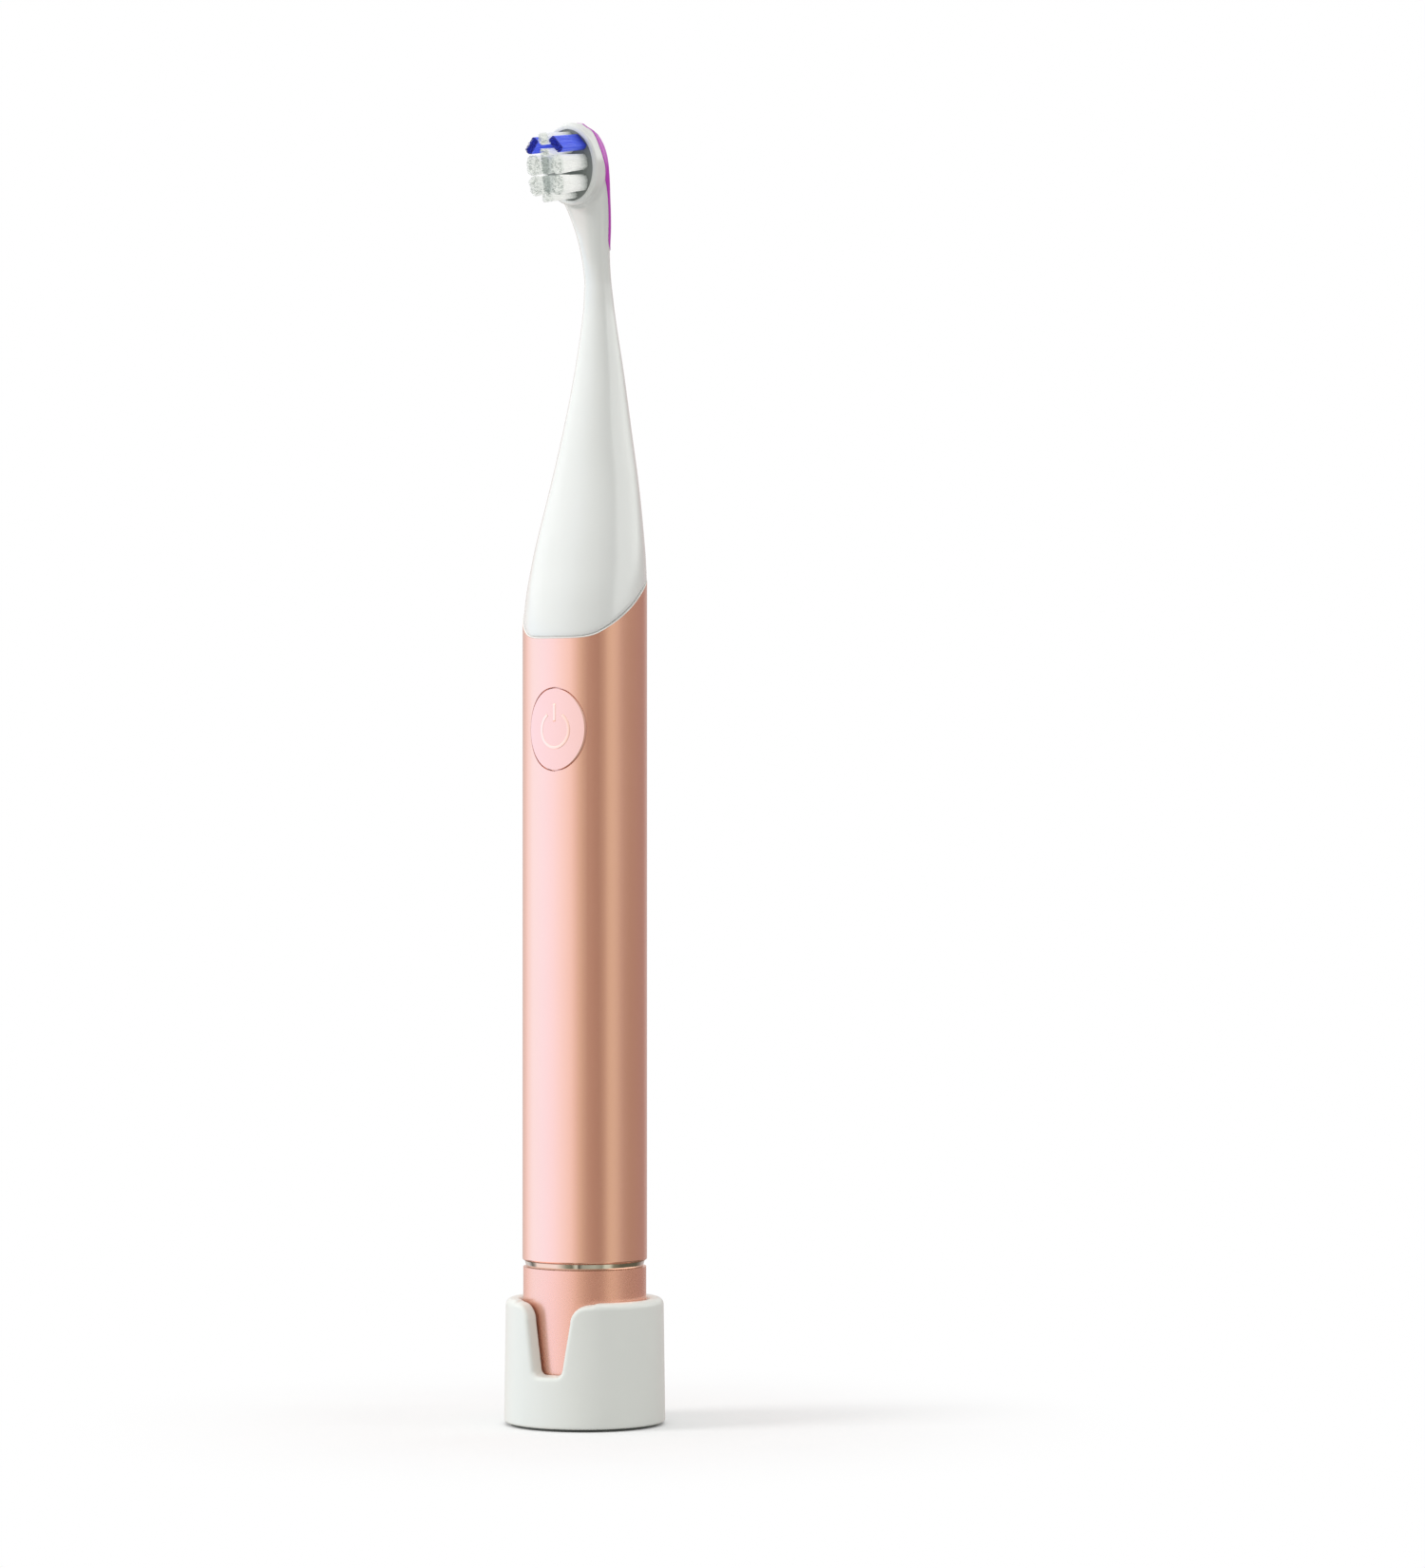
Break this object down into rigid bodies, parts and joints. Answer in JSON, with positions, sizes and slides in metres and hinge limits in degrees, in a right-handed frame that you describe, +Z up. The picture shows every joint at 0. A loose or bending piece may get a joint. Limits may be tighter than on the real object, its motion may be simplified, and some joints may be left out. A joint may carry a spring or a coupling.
{
  "type": "electric toothbrush on charger",
  "caption": "Slim upright electric toothbrush with a slanted lift-off brush head, standing in a small round notched charging cup.",
  "frame": {"origin": "centre of the rubber foot's underside, on the surface that the charger stands on", "axes": "+Z up along the handle, -Y towards the front with the power button, the bristles and the cup's notch, +X to the right seen from behind the button's face looking along +Y"},
  "size_m": [0.031, 0.0322, 0.2499],
  "materials": {
    "cup_white": "moulded white plastic, softly glossy",
    "foot_rubber": "matt grey rubber",
    "screw_steel": "plain steel",
    "board_green": "green solder mask on glass-fibre board",
    "chip_black": "black moulded resin",
    "ferrite": "dark sintered ferrite and laminations",
    "coil_copper": "enamelled copper wire",
    "inlet_steel": "drawn nickel-plated steel",
    "rose_gold": "satin metallic rose-gold coat",
    "seal_rubber": "soft black elastomer",
    "ring_chrome": "polished bright ring",
    "carrier_grey": "dark grey moulded plastic",
    "cell_wrap": "shrink-wrapped cell",
    "tab_nickel": "nickel strip",
    "can_steel": "drawn steel can",
    "bushing_bronze": "sintered bronze",
    "shaft_steel": "ground stainless steel",
    "magnet": "nickel-plated magnet",
    "button_pink": "matt soft-touch plastic",
    "head_white": "glossy white plastic",
    "pad_magenta": "soft glossy elastomer",
    "plate_grey": "grey moulded plate",
    "bristle_blue": "blue nylon filaments",
    "bristle_white": "white nylon filaments",
    "bristle_clear": "clear nylon filaments"
  },
  "bodies": {
    "charger": {"cup_shell": "cup_white", "bottom_cover": "cup_white", "foot_pad": "foot_rubber", "cover_screws": "screw_steel", "base_board": "board_green", "base_chips": "chip_black", "primary_core": "ferrite", "primary_coil": "coil_copper", "inlet_shell": "inlet_steel", "inlet_tongue": "chip_black"},
    "handle": {"base_cap": "rose_gold", "base_seal": "seal_rubber", "trim_ring": "ring_chrome", "handle_tube": "rose_gold", "secondary_coil": "coil_copper", "coil_shield": "ferrite", "carrier": "carrier_grey", "battery_cell": "cell_wrap", "battery_tabs": "tab_nickel", "main_board": "board_green", "board_chips": "chip_black", "board_screws": "screw_steel", "switch_body": "chip_black", "button_gasket": "seal_rubber", "motor_can": "can_steel", "stator_core": "ferrite", "motor_coil": "coil_copper", "shaft_bushings": "bushing_bronze", "torsion_bar": "screw_steel", "nose_collar": "carrier_grey", "shaft_seal": "seal_rubber"},
    "drive": {"drive_shaft": "shaft_steel", "rotor_magnets": "magnet"},
    "button": {"power_button": "button_pink", "switch_plunger": "shaft_steel"},
    "head": {"head_shell": "head_white", "head_hub": "head_white", "hub_clip": "screw_steel", "back_pad": "pad_magenta", "bristle_plate": "plate_grey", "tufts_blue": "bristle_blue", "tufts_white": "bristle_white", "tufts_clear": "bristle_clear"}
  },
  "joints": [
    {"name": "brush_lift", "type": "slide", "parent": "charger", "child": "handle", "axis": [0, 0, 1], "range_m": [0, 0.03]},
    {"name": "shaft_swing", "type": "hinge", "parent": "handle", "child": "drive", "pos_m": [0, 0, 0.15], "axis": [0, 0, 1], "range_deg": [-1.5, 1.5], "stiffness_Nm_per_rad": 2},
    {"name": "head_pull", "type": "slide", "parent": "drive", "child": "head", "axis": [0, 0, 1], "range_m": [0, 0.03]},
    {"name": "button_press", "type": "slide", "parent": "handle", "child": "button", "axis": [0, 1, 0], "range_m": [0, 0.0004], "stiffness_N_per_m": 400, "springref_m": -0.002}
  ]
}
